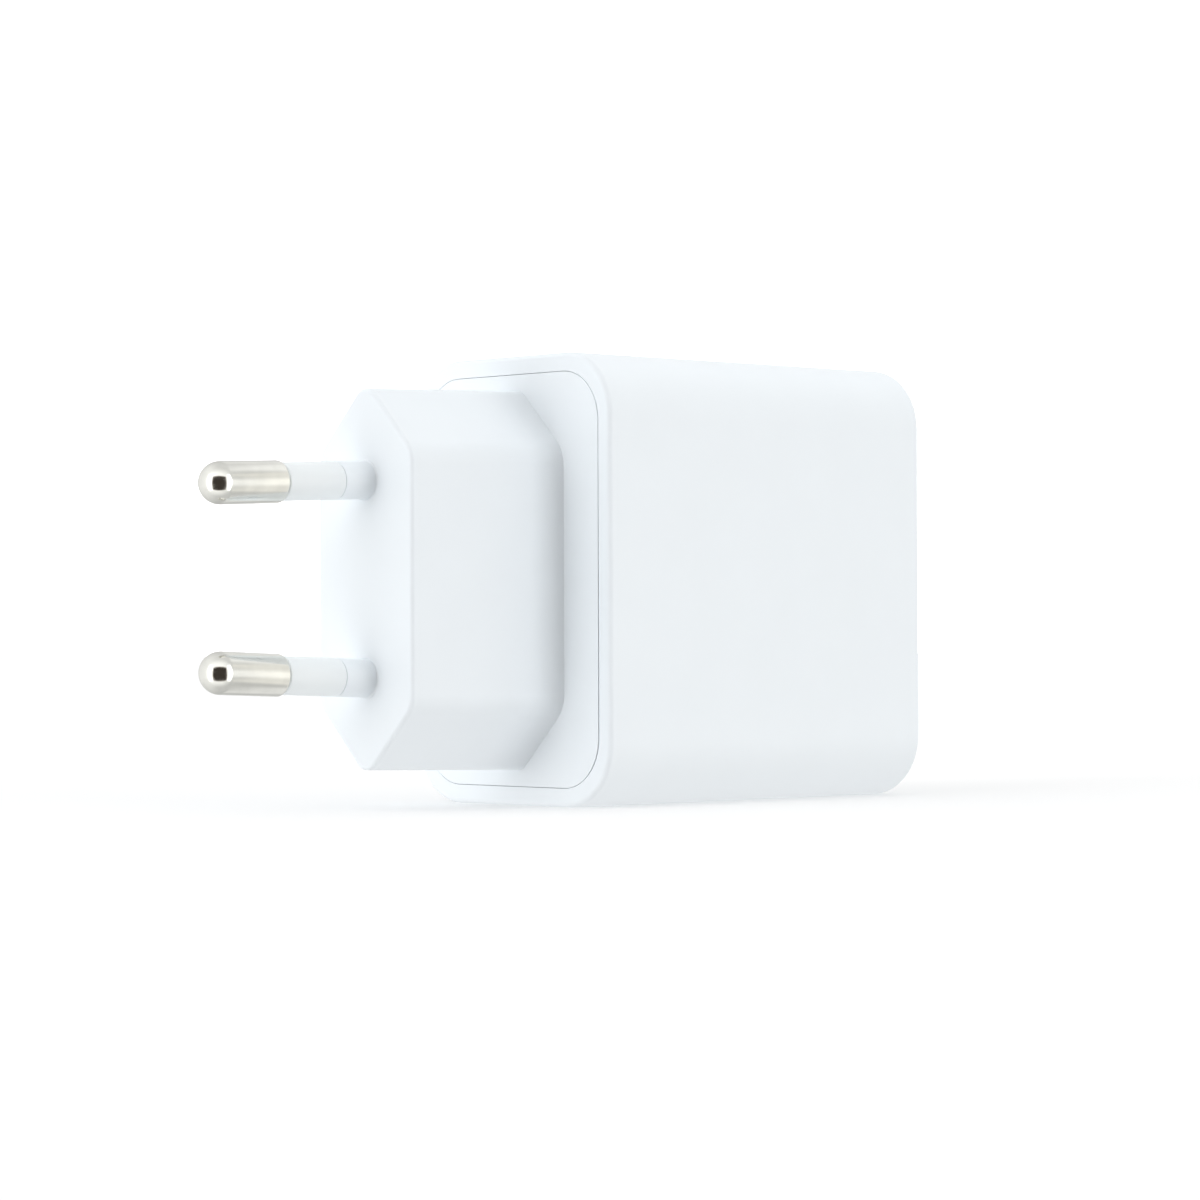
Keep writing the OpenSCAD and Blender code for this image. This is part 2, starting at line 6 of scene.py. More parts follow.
import bmesh
import bpy
from mathutils import Matrix, Vector


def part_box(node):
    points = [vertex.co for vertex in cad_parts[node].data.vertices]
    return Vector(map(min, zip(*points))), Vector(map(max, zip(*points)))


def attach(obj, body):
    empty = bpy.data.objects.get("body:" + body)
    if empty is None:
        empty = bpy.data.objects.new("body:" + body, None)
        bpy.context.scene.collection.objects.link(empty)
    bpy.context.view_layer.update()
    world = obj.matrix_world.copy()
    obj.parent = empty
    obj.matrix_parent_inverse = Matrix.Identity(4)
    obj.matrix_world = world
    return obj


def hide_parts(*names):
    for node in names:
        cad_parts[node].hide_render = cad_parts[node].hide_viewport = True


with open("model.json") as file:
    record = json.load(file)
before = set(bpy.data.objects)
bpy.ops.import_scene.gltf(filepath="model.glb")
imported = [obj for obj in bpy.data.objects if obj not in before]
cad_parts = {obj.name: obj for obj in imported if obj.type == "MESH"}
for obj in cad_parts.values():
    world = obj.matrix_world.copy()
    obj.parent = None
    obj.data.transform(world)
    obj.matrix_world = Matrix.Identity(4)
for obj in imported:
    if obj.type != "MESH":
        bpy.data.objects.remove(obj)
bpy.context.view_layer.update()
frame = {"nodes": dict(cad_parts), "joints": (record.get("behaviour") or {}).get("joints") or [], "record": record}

# ---------- sizes, in millimetres; a mesh turns them into metres when it is made ----------

MM = 0.001
ROOT2 = math.sqrt(2)


def in_mm(place):
    """A place in the frame's metres, turned into millimetres."""
    return Vector(place) / MM


def node_box(node):
    """The low and the high corner of a CAD node."""
    return [in_mm(corner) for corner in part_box(node)]


mounts = {mount["name"]: mount for mount in frame["record"]["mounts"]}
housing_low, housing_high = node_box("housing")
cover_high = node_box("plug_cover")[1]
port_low, port_high = node_box("usb_shell")
insulator_high = node_box("usb_insulator")[1]
leaf_low, leaf_high = node_box("usb_contact_springs")
board_low, board_high = node_box("main_board")

# Housing
BODY_W = housing_high.x - housing_low.x
BODY_H = housing_high.z - housing_low.z
FRONT_Y = housing_low.y
BACK_Y = housing_high.y
MID_Z = (housing_low.z + housing_high.z) / 2
BODY_R = 6.2
WALL = 1.8
BACK_WALL = 2.0
CAVITY_W = BODY_W - 2 * WALL
CAVITY_H = BODY_H - 2 * WALL
CAVITY_R = BODY_R - 1.3
FRONT_FILLET = 0.5
BACK_FILLET = 0.4
INNER_BACK = BACK_Y - BACK_WALL
INNER_R = 0.6
RIM_EDGE = 0.04
MOUTH_EDGE = 0.12
OPENING_R, RECESS_R = 0.8, 1.2
RAIL_W, RAIL_DEEP = 1.6, 1.6
REBATE_FROM = 0.1
OVERLAP = 0.2

# Cover, with the neck that enters the wall socket
GAP = 0.1
FACE_Y = in_mm(mounts["engagement_face"]["pos_m"]).y
SKIRT_BACK = cover_high.y
PANEL_T = 2.0
PANEL_BACK = FRONT_Y + PANEL_T
SEAM = 0.07
SEAM_ENDS = 0.04
SEAM_SHIFT = 0.03
SEAM_LEAN = 0.0015
REBATE = 0.2
PANEL_FROM = 0.15
PANEL_W = CAVITY_W + 2 * REBATE - 2 * SEAM
PANEL_H = CAVITY_H - 2 * SEAM_ENDS
PANEL_R = CAVITY_R - SEAM
SKIRT_WALL = 1.2
NECK_W, NECK_H, NECK_CUT = 13.7, 35.8, 6.0
NECK_GROWTH = 0.7
ROOT_W, ROOT_H = 15.3, 36.7
NECK_WALL = 1.6
FACE_WALL = 2.6
SIDE_R, END_R = 2.8, 1.4
ROOT_GROWTH = 0.8
FACE_FILLET = 0.4
FLARE_LEN = 3.0
FLARE_TURN = 24
FLARE_STEPS = 10
ROOT_END_GROWTH = 0.2
SKIRT_EDGE = 0.15
HOLLOW_W, HOLLOW_H = NECK_W - 2 * NECK_WALL, NECK_H - 2 * NECK_WALL
HOLLOW_CUT = NECK_CUT - NECK_WALL * (2 - ROOT2)
HOLLOW_SIDE_R, HOLLOW_END_R = 1.2, 0.6
CATCH_LEN, CATCH_W, CATCH_PROUD = 1.2, 5.0, 0.5
CATCH_Y = PANEL_BACK + 1.2
CATCH_Z = 9.0

# Pins and sleeves, measured along a pin's axis from the face
PIN_R = mounts["pin_live"]["dims"]["r_mm"]
PIN_LEN = 19.0
BARE_FROM = 10.2
SLEEVE_R = 1.8
CORE_R = 1.5
BORE_R = 1.55
COLLAR_LEN = 3.6
COLLAR_FILLET = 0.15
COLLAR_FLAT = 0.35
COLLAR_LIP = 0.1
FLANGE_R, FLANGE_T, FLANGE_S = 2.6, 2.0, 2.7
TAIL_LEN = 9.2
TAIL_EDGE, FLANGE_EDGE, SHOULDER_R = 0.3, 0.2, 0.4
SLEEVE_EDGE, SLEEVE_GAP, SLEEVE_SLACK = 0.12, 0.01, 0.02

# USB port
MOUTH_Y = port_high.y
SHELL_BACK = port_low.y
SHELL_W = port_high.z - port_low.z
SHELL_T = 5.72
SHEET_T = 0.3
SHELL_R, SHELL_EDGE = 0.9, 0.08
MOUTH_FLARE = ((0, 0.5), (0.06, 0.2), (0.14, 0.03), (0.18, 0))
TAB_BACK, TAB_FRONT = MOUTH_Y - 8.6, MOUTH_Y - 2.4
TAB_W, TAB_Z, TAB_BEND, TAB_STEPS = 1.6, 3.0, 0.42, 24
WINDOW_W, CUT_DEEP = 2.1, 0.5
LEG_FROM, LEG_LEN = 4.0, 1.4
LEG_ABOVE, LEG_BELOW = 0.6, 0.8
BLOCK_FRONT = MOUTH_Y - 12
BLOCK_SLACK, BLOCK_R, BLOCK_EDGE = 0.1, 0.5, 0.1
TONGUE_T, TONGUE_W, TONGUE_R, TONGUE_TIP_R = 1.84, 11.1, 0.2, 0.5
TONGUE_X = SHELL_T / 2 - SHEET_T - 0.66 - TONGUE_T / 2
LEAF_HALF_T, LEAF_STEPS = 0.1, 40
CROWN_FROM_ROOT = 5.2
BARREL_R = 0.2
OPENING_SLACK, RECESS_SLACK = 0.3, 1.3
CONTACT_Z = (-3.5, -1.0, 1.0, 3.5)
CONTACT_W = 1.0

# Steps in an eighth of a turn, sides of a round section, and how near points are merged
ARC = 8
ROUND, PIN_ROUND = 72, 96
MERGE = 0.0005 * MM
SHARP = 32.0


# ---------- outlines and lofts ----------

def outline(width, height, side_r, end_r, cut=0.0):
    """Points (x, z) round a rectangle, or round an octagon with 45 degree corner cuts.

    side_r rounds where a cut meets the wide sides, and end_r where it meets the narrow ones.
    Every outline has the same number of points in the same order, so that any two can be joined.
    """
    tangent = ROOT2 - 1 if cut else 1.0
    centres = [(width / 2 - side_r, height / 2 - cut - tangent * side_r),
        (width / 2 - cut - tangent * end_r, height / 2 - end_r)]
    points = []
    for quarter in range(4):
        sx = 1 if quarter in (0, 3) else -1
        sz = 1 if quarter < 2 else -1
        for half in (0, 1):
            which = half if quarter in (0, 2) else 1 - half
            cx, cz = centres[which]
            radius = (side_r, end_r)[which]
            for step in range(ARC + 1):
                angle = math.radians(90 * quarter + 45 * half + 45 * step / ARC)
                points.append((sx * cx + radius * math.cos(angle), sz * cz + radius * math.sin(angle)))
    return points


def section(base, inset, y):
    """A ring at y, set inwards by inset from a base outline (width, height, radii, cut)."""
    width, height, side_r, end_r, cut = base
    cut = cut - inset * (2 - ROOT2) if cut else 0.0
    shape = outline(width - 2 * inset, height - 2 * inset,
        max(side_r - inset, 0.02), max(end_r - inset, 0.02), cut)
    return [Vector((x, y, MID_Z + z)) for x, z in shape]


def corner(inset, y, radius, start, end, steps=5):
    """(inset, y) points along a fillet's arc, from one angle to another in degrees."""
    points = []
    for step in range(steps + 1):
        angle = math.radians(start + (end - start) * step / steps)
        points.append((inset + radius * math.cos(angle), y + radius * math.sin(angle)))
    return points


def add_rings(mesh, rings, closed=False):
    """Joins rings of points by a skin of faces and returns the rings' vertices."""
    made = [[mesh.verts.new(point * MM) for point in ring] for ring in rings]
    pairs = list(zip(made, made[1:]))
    if closed:
        pairs.append((made[-1], made[0]))
    for first, second in pairs:
        count = len(first)
        for i in range(count):
            j = (i + 1) % count
            mesh.faces.new((first[i], first[j], second[j], second[i]))
    return made


def fill(mesh, *rings):
    """Fills a flat face bounded by an outer ring of vertices and any holes in it."""
    edges = []
    for ring in rings:
        for i, vertex in enumerate(ring):
            other = ring[(i + 1) % len(ring)]
            edge = mesh.edges.get((vertex, other))
            edges.append(edge or mesh.edges.new((vertex, other)))
    bmesh.ops.triangle_fill(mesh, use_beauty=True, use_dissolve=False, edges=edges)


def cap_ends(mesh):
    """Closes a skin's open ends with flat faces."""
    bmesh.ops.remove_doubles(mesh, verts=mesh.verts, dist=MERGE)
    bmesh.ops.holes_fill(mesh, edges=mesh.edges, sides=0)


def to_object(mesh, name):
    """Turns an edit mesh into an object of the scene."""
    data = bpy.data.meshes.new(name)
    mesh.to_mesh(data)
    mesh.free()
    thing = bpy.data.objects.new(name, data)
    bpy.context.scene.collection.objects.link(thing)
    return thing


def finish_mesh(mesh, name):
    """Turns an edit mesh into an object with clean normals and smooth shading."""
    bmesh.ops.remove_doubles(mesh, verts=mesh.verts, dist=MERGE)
    bmesh.ops.dissolve_degenerate(mesh, dist=MERGE, edges=mesh.edges)
    bmesh.ops.recalc_face_normals(mesh, faces=mesh.faces)
    piece = to_object(mesh, name)
    soften(piece)
    return piece


def soften(piece):
    """Smooth shading that breaks at sharp edges."""
    piece.data.polygons.foreach_set("use_smooth", [True] * len(piece.data.polygons))
    piece.data.set_sharp_from_angle(angle=math.radians(SHARP))


def weigh_normals(piece):
    """Keeps wide flat faces flat next to their small fillets."""
    weighted = piece.modifiers.new("weighted normals", "WEIGHTED_NORMAL")
    weighted.keep_sharp = True
    weighted.weight = 100


def add_block(mesh, low, high):
    """A box between two corners."""
    centre = (Vector(low) + Vector(high)) / 2
    size = Vector(high) - Vector(low)
    place = Matrix.Translation(centre * MM) @ Matrix.Diagonal((*(size * MM), 1))
    bmesh.ops.create_cube(mesh, size=1, matrix=place)


def blocks(name, corners):
    """One object made of several boxes."""
    mesh = bmesh.new()
    for low, high in corners:
        add_block(mesh, low, high)
    return to_object(mesh, name)


def combine(piece, other, operation):
    """Applies a union or a difference with another object, which is then removed."""
    modifier = piece.modifiers.new("combine", "BOOLEAN")
    modifier.operation = operation
    modifier.object = other
    modifier.solver = "EXACT"
    modifier.use_self = True
    bpy.context.view_layer.update()
    graph = bpy.context.evaluated_depsgraph_get()
    result = bpy.data.meshes.new_from_object(piece.evaluated_get(graph))
    piece.modifiers.clear()
    old = piece.data
    piece.data = result
    bpy.data.meshes.remove(old)
    bpy.data.objects.remove(other)
    soften(piece)


def swept(profile, name, place, segments=ROUND):
    """A solid of revolution from closed (radius, height) points, put in its place by a matrix."""
    mesh = bmesh.new()
    rings = []
    for radius, height in profile:
        ring = []
        for i in range(segments if radius else 1):
            angle = 2 * math.pi * i / segments
            ring.append(mesh.verts.new(
                Vector((radius * math.cos(angle), radius * math.sin(angle), height)) * MM))
        rings.append(ring)
    for first, second in zip(rings, rings[1:]):
        for i in range(segments):
            j = (i + 1) % segments
            corners = [first[i % len(first)], first[j % len(first)],
                second[j % len(second)], second[i % len(second)]]
            mesh.faces.new(list(dict.fromkeys(corners)))
    bmesh.ops.transform(mesh, matrix=place, verts=mesh.verts)
    return finish_mesh(mesh, name)


# ---------- node materials ----------

class Shading:
    """A material's node tree, with short calls for the nodes that the finishes share."""

    def __init__(self, name):
        self.material = bpy.data.materials.new(name)
        self.material.use_nodes = True
        self.nodes = self.material.node_tree.nodes
        self.links = self.material.node_tree.links
        self.shader = self.nodes["Principled BSDF"]
        self.place = self.nodes.new("ShaderNodeTexCoord").outputs["Object"]

    def set(self, **values):
        for name, value in values.items():
            self.shader.inputs[name.replace("_", " ")].default_value = value

    def join(self, source, target):
        self.links.new(source, target)

    def stretched(self, scale):
        mapping = self.nodes.new("ShaderNodeMapping")
        mapping.inputs["Scale"].default_value = scale
        self.join(self.place, mapping.inputs["Vector"])
        return mapping.outputs["Vector"]

    def noise(self, size, detail=3.0, roughness=0.5, place=None):
        """Noise whose features are about size millimetres across."""
        node = self.nodes.new("ShaderNodeTexNoise")
        node.inputs["Scale"].default_value = 1 / (size * MM)
        node.inputs["Detail"].default_value = detail
        node.inputs["Roughness"].default_value = roughness
        self.join(place or self.place, node.inputs["Vector"])
        return node.outputs["Fac"]

    def span(self, value, low, high, start=0.3, end=0.7):
        node = self.nodes.new("ShaderNodeMapRange")
        for name, number in (("From Min", start), ("From Max", end), ("To Min", low), ("To Max", high)):
            node.inputs[name].default_value = number
        self.join(value, node.inputs["Value"])
        return node.outputs["Result"]

    def blend(self, value, first, second):
        node = self.nodes.new("ShaderNodeMix")
        node.data_type = "RGBA"
        node.inputs["A"].default_value = (*first, 1)
        node.inputs["B"].default_value = (*second, 1)
        self.join(value, node.inputs["Factor"])
        return node.outputs["Result"]

    def bump(self, height, distance, strength=1.0, under=None):
        node = self.nodes.new("ShaderNodeBump")
        node.inputs["Strength"].default_value = strength
        node.inputs["Distance"].default_value = distance * MM
        self.join(height, node.inputs["Height"])
        if under:
            self.join(under, node.inputs["Normal"])
        return node.outputs["Normal"]


def shade(colour, factor):
    return tuple(min(1.0, channel * factor) for channel in colour)


def moulded(name, colour, gloss, grain=0.18, depth=0.0012, spread=0.02, **values):
    """Moulded plastic or rubber: faint mottling, uneven gloss and a fine spark-eroded grain."""
    look = Shading(name)
    mottle = look.span(look.noise(6.0, 4.0), 0, 1)
    look.join(look.blend(mottle, shade(colour, 1 - spread), shade(colour, 1 + spread)),
        look.shader.inputs["Base Color"])
    patches = look.noise(1.6, 3.0)
    look.join(look.span(patches, gloss - 0.04, gloss + 0.04), look.shader.inputs["Roughness"])
    fine = look.bump(look.noise(grain, 2.0), depth)
    look.join(fine, look.shader.inputs["Normal"])
    look.set(**values)
    return look.material


def metal(name, colour, gloss, lines=None, depth=0.0006, spread=0.04, size=0.35):
    """Bare or plated metal, with fine drawn lines where it has them."""
    look = Shading(name)
    look.set(Metallic=1.0)
    place = look.stretched(lines) if lines else None
    streaks = look.noise(size, 4.0, 0.6, place)
    stain = look.span(look.noise(1.8, 3.0), 0, 1)
    look.join(look.blend(stain, shade(colour, 1 - spread), shade(colour, 1 + spread)),
        look.shader.inputs["Base Color"])
    look.join(look.span(streaks, gloss - 0.05, gloss + 0.07), look.shader.inputs["Roughness"])
    look.join(look.bump(streaks, depth), look.shader.inputs["Normal"])
    return look.material


def printed_board(name):
    """Green solder mask over faint tracks."""
    look = Shading(name)
    voronoi = look.nodes.new("ShaderNodeTexVoronoi")
    voronoi.distance = "MANHATTAN"
    voronoi.feature = "DISTANCE_TO_EDGE"
    voronoi.inputs["Scale"].default_value = 1 / (3.2 * MM)
    look.join(look.place, voronoi.inputs["Vector"])
    tracks = look.span(voronoi.outputs["Distance"], 0, 1, 0.04, 0.08)
    look.join(look.blend(tracks, (0.012, 0.10, 0.035), (0.02, 0.16, 0.055)),
        look.shader.inputs["Base Color"])
    look.join(look.span(look.noise(0.8), 0.25, 0.4), look.shader.inputs["Roughness"])
    look.join(look.bump(tracks, 0.03), look.shader.inputs["Normal"])
    return look.material


def wound_wire(name, colour):
    """Enamelled wire in close turns, with painted shade darkening the grooves between them."""
    look = Shading(name)
    wave = look.nodes.new("ShaderNodeTexWave")
    wave.bands_direction = "Y"
    wave.inputs["Scale"].default_value = 1 / (0.9 * MM)
    wave.inputs["Distortion"].default_value = 0.6
    look.join(look.place, wave.inputs["Vector"])
    turns = wave.outputs["Fac"]
    # Painted shade: the colour falls to 0.45 of the wire's own in the grooves between turns, where the bump is
    # lowest
    look.join(look.blend(turns, shade(colour, 0.45), colour), look.shader.inputs["Base Color"])
    look.join(look.span(look.noise(0.5), 0.22, 0.38), look.shader.inputs["Roughness"])
    look.join(look.bump(turns, 0.06), look.shader.inputs["Normal"])
    look.set(Metallic=0.8)
    return look.material


white_plastic = moulded("satin white plastic", (0.835, 0.88, 0.914), 0.42, spread=0.006)
sleeve_plastic = moulded("sleeve white plastic", (0.836, 0.875, 0.889), 0.36, spread=0.006)
plated_pin = metal("satin nickel plate", (0.705, 0.70, 0.655), 0.14, lines=(1, 0.02, 1))
port_metal = metal("stamped port steel", (0.72, 0.71, 0.69), 0.30, lines=(1, 0.15, 1), depth=0.0002)
contact_metal = metal("gold flash contact", (0.86, 0.62, 0.25), 0.22)
port_plastic = moulded("white port plastic", (0.80, 0.81, 0.80), 0.38)

finishes = {
    "shell_plastic": white_plastic,
    "sleeve_plastic": sleeve_plastic,
    "plated_pin": plated_pin,
    "port_steel": port_metal,
    "contact_brass": contact_metal,
    "port_plastic": port_plastic,
    "inner_plastic": moulded("inner support plastic", (0.75, 0.74, 0.70), 0.5),
    "board": printed_board("green circuit board"),
    "solder": metal("solder", (0.66, 0.66, 0.67), 0.3, size=0.2),
    "tinned_wire": metal("tinned wire", (0.70, 0.69, 0.66), 0.28),
    "resistor_body": moulded("resistor lacquer", (0.10, 0.28, 0.20), 0.35),
    "ferrite": moulded("sintered ferrite", (0.035, 0.035, 0.038), 0.55, grain=0.1, depth=0.01, spread=0.2),
    "copper_wire": wound_wire("enamelled copper turns", (0.78, 0.32, 0.12)),
    "chip_body": moulded("moulded chip epoxy", (0.022, 0.022, 0.024), 0.55, grain=0.08, depth=0.004),
    "chip_ceramic": moulded("chip ceramic", (0.42, 0.30, 0.19), 0.45, grain=0.08, depth=0.003),
    "can_aluminium": metal("brushed aluminium can", (0.80, 0.80, 0.81), 0.28, lines=(1, 0.05, 1)),
    "can_sleeve": moulded("capacitor sleeve film", (0.02, 0.03, 0.07), 0.28, spread=0.1),
    "seal_rubber": moulded("seal rubber", (0.03, 0.03, 0.03), 0.7, depth=0.004),
    "bobbin_plastic": moulded("bobbin phenolic", (0.045, 0.04, 0.04), 0.5),
    "tape": moulded("polyester tape", (0.85, 0.62, 0.08), 0.25, spread=0.06),
    "capacitor_coating": moulded("ceramic disc coating", (0.05, 0.20, 0.46), 0.4, grain=0.3, depth=0.01),
    "sheet_film": moulded("insulating film", (0.83, 0.80, 0.62), 0.3),
    "pad_silicone": moulded("thermal pad silicone", (0.42, 0.50, 0.58), 0.65, depth=0.004),
}

slot_of = {}
for subpart in frame["record"]["subparts"]:
    slot_of[subpart["node"]] = subpart["material_slot"]
for node, thing in frame["nodes"].items():
    finish = finishes[slot_of[node]]
    for place in thing.material_slots:
        place.material = finish


def place_piece(piece, slot, *nodes, body="charger", turned=False):
    """Gives a piece its finish and its body, and lets it stand for CAD nodes."""
    piece.data.materials.clear()
    piece.data.materials.append(finishes[slot])
    if not turned:
        weigh_normals(piece)
    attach(piece, body)
    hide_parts(*nodes)


# ---------- housing ----------

def housing_moulding():
    """The cup, from the cavity's far end over the rim and the outside to the USB opening."""
    cavity = (CAVITY_W, CAVITY_H, CAVITY_R, CAVITY_R, 0)
    rebate = (CAVITY_W + 2 * REBATE, CAVITY_H, CAVITY_R, CAVITY_R, 0)
    body = (BODY_W, BODY_H, BODY_R, BODY_R, 0)
    opening = (SHELL_T + OPENING_SLACK, SHELL_W + OPENING_SLACK, OPENING_R, OPENING_R, 0)
    recess = (SHELL_T + RECESS_SLACK, SHELL_W + RECESS_SLACK, RECESS_R, RECESS_R, 0)
    stations = [
        (cavity, corner(INNER_R, INNER_BACK - INNER_R, INNER_R, 90, 180)),
        (cavity, [(0, PANEL_BACK)]),
        (rebate, [(0, PANEL_BACK - REBATE_FROM)]),
        (rebate, corner(-RIM_EDGE, FRONT_Y + RIM_EDGE, RIM_EDGE, 0, -90, 3)),
        (body, corner(FRONT_FILLET, FRONT_Y + FRONT_FILLET, FRONT_FILLET, 270, 180, 8)),
        (body, corner(BACK_FILLET, BACK_Y - BACK_FILLET, BACK_FILLET, 180, 90)),
        (recess, corner(-MOUTH_EDGE, BACK_Y - MOUTH_EDGE, MOUTH_EDGE, 90, 0, 4)),
        (recess, [(0, MOUTH_Y)]),
        (opening, corner(-MOUTH_EDGE, MOUTH_Y - MOUTH_EDGE, MOUTH_EDGE, 90, 0, 4)),
        (opening, [(0, INNER_BACK)]),
    ]
    mesh = bmesh.new()
    add_rings(mesh, [section(base, inset, y) for base, path in stations for inset, y in path], closed=True)
    piece = finish_mesh(mesh, "housing_moulding")
    rails, pockets = [], []
    for side in (-1, 1):
        wall_z = MID_Z + side * (CAVITY_H / 2 + OVERLAP)
        rail_z = MID_Z + side * (CAVITY_H / 2 - RAIL_DEEP)
        for x in (board_low.x - GAP - RAIL_W, board_high.x + GAP):
            rails.append(((x, SKIRT_BACK + GAP, min(wall_z, rail_z)),
                (x + RAIL_W, INNER_BACK + GAP, max(wall_z, rail_z))))
        for z in (-CATCH_Z, CATCH_Z):
            near = side * (CAVITY_W / 2 - OVERLAP)
            far = side * (CAVITY_W / 2 + CATCH_PROUD + GAP)
            pockets.append(((min(near, far), CATCH_Y - GAP, MID_Z + z - CATCH_W / 2 - GAP),
                (max(near, far), CATCH_Y + CATCH_LEN + GAP, MID_Z + z + CATCH_W / 2 + GAP)))
    combine(piece, blocks("rails", rails), "UNION")
    combine(piece, blocks("pockets", pockets), "DIFFERENCE")
    return piece


# ---------- plug cover ----------

class PinAxis:
    """A pin's tilted axis, with distances along it measured from the face."""

    def __init__(self, mount):
        self.along = Vector(mount["axis"]).normalized()
        point = in_mm(mount["pos_m"])
        self.start = point - self.along * ((point.y - FACE_Y) / self.along.y)
        self.across = Vector((1, 0, 0))
        self.upward = self.along.cross(self.across)

    def ring(self, radius, distance):
        points = []
        for i in range(ROUND):
            angle = 2 * math.pi * i / ROUND
            points.append(self.start + self.along * distance
                + self.across * (radius * math.cos(angle)) + self.upward * (radius * math.sin(angle)))
        return points

    def ring_at(self, radius, y):
        """The ring where a tube round the axis meets the plane at y."""
        return [point + self.along * ((y - point.y) / self.along.y) for point in self.ring(radius, 0)]

    def matrix(self):
        turn = Matrix((self.across, self.upward, self.along)).transposed()
        return Matrix.Translation(self.start * MM) @ turn.to_4x4()


live_axis = PinAxis(mounts["pin_live"])
neutral_axis = PinAxis(mounts["pin_neutral"])


def neck_base(part):
    """The neck's outline from the face (0) to the start of the flare (1)."""
    grown = NECK_GROWTH * part
    return (NECK_W + grown, NECK_H + grown, SIDE_R, END_R, NECK_CUT)


def plug_cover_moulding():
    """The end panel with its skirt and catches, the hollow neck, and a collar round each pin."""
    panel = (PANEL_W, PANEL_H, PANEL_R, PANEL_R, 0)
    skirt = (CAVITY_W - 2 * SEAM, PANEL_H, PANEL_R, PANEL_R, 0)
    hollow = (HOLLOW_W, HOLLOW_H, HOLLOW_SIDE_R, HOLLOW_END_R, HOLLOW_CUT)
    hollow_floor = FACE_Y + FACE_WALL
    rings = []

    def add(base, path):
        rings.extend(section(base, inset, y) for inset, y in path)

    add(hollow, [(0.3, hollow_floor), (0.09, hollow_floor + 0.09), (0, hollow_floor + 0.3)])
    add(hollow, [(0, PANEL_BACK)])
    add(skirt, [(SKIRT_WALL + inset, PANEL_BACK + 0.3 - inset) for inset in (0.3, 0.1, 0)])
    add(skirt, corner(SKIRT_WALL - SKIRT_EDGE, SKIRT_BACK - SKIRT_EDGE, SKIRT_EDGE, 0, 90, 3))
    add(skirt, corner(SKIRT_EDGE, SKIRT_BACK - SKIRT_EDGE, SKIRT_EDGE, 90, 180, 3))
    add(skirt, [(0, PANEL_BACK)])
    add(panel, [(0, PANEL_BACK - PANEL_FROM)])
    add(panel, corner(RIM_EDGE, FRONT_Y + RIM_EDGE, RIM_EDGE, 180, 270, 3))
    flare_y = FRONT_Y - FLARE_LEN
    last = math.radians(FLARE_TURN)
    for step in range(FLARE_STEPS, -1, -1):
        turn = last * step / FLARE_STEPS
        part = (1 - math.cos(turn)) / (1 - math.cos(last))
        width = NECK_W + NECK_GROWTH + (ROOT_W - NECK_W - NECK_GROWTH) * part
        height = NECK_H + NECK_GROWTH + (ROOT_H - NECK_H - NECK_GROWTH) * part
        y = FRONT_Y - FLARE_LEN * (1 - math.sin(turn) / math.sin(last))
        radii = (SIDE_R + ROOT_GROWTH * part, END_R + ROOT_END_GROWTH * part)
        rings.append(section((width, height, *radii, NECK_CUT), 0, y))
    for part in (0.75, 0.5, 0.25):
        add(neck_base(part), [(0, FACE_Y + (flare_y - FACE_Y) * part)])
    add(neck_base(0), corner(FACE_FILLET, FACE_Y + FACE_FILLET, FACE_FILLET, 180, 270, 6))
    mesh = bmesh.new()
    made = add_rings(mesh, rings)
    # The inset panel sits a touch off centre, so that its seam is wider on one side
    for vertex in mesh.verts:
        if vertex.co.y > (FRONT_Y - 0.001) * MM and abs(vertex.co.x) > HOLLOW_W * MM:
            vertex.co.x -= SEAM_SHIFT * MM - SEAM_LEAN * (vertex.co.z - MID_Z * MM)
    face_rings, floor_rings = [made[-1]], [made[0]]
    for axis in (live_axis, neutral_axis):
        round_rings = [axis.ring_at(SLEEVE_R + COLLAR_FILLET + COLLAR_FLAT, FACE_Y),
            axis.ring_at(SLEEVE_R + COLLAR_FILLET, FACE_Y)]
        for step in range(1, 6):
            turn = math.radians(90 * step / 5)
            round_rings.append(axis.ring(SLEEVE_R + COLLAR_FILLET * (1 - math.sin(turn)),
                COLLAR_FILLET * (1 - math.cos(turn))))
        round_rings += [
            axis.ring(SLEEVE_R, COLLAR_LEN - COLLAR_LIP),
            axis.ring(SLEEVE_R - 0.3 * COLLAR_LIP, COLLAR_LEN - 0.3 * COLLAR_LIP),
            axis.ring(SLEEVE_R - COLLAR_LIP, COLLAR_LEN),
            axis.ring(BORE_R, COLLAR_LEN),
            axis.ring_at(BORE_R, hollow_floor),
        ]
        collar = add_rings(mesh, round_rings)
        face_rings.append(collar[0])
        floor_rings.append(collar[-1])
    fill(mesh, *face_rings)
    fill(mesh, *floor_rings)
    piece = finish_mesh(mesh, "plug_cover_moulding")
    catches = []
    for side in (-1, 1):
        near, far = side * (PANEL_W / 2 - 0.3), side * (PANEL_W / 2 + CATCH_PROUD)
        for z in (-CATCH_Z, CATCH_Z):
            catches.append(((min(near, far), CATCH_Y, MID_Z + z - CATCH_W / 2),
                (max(near, far), CATCH_Y + CATCH_LEN, MID_Z + z + CATCH_W / 2)))
    combine(piece, blocks("catches", catches), "UNION")
    return piece


# ---------- pins and sleeves ----------

def arc(radius_at, height_at, radius, start, end, steps):
    """(radius, height) points along an arc, from one angle to another in degrees."""
    points = []
    for step in range(steps + 1):
        angle = math.radians(start + (end - start) * step / steps)
        points.append((radius_at + radius * math.cos(angle), height_at + radius * math.sin(angle)))
    return points


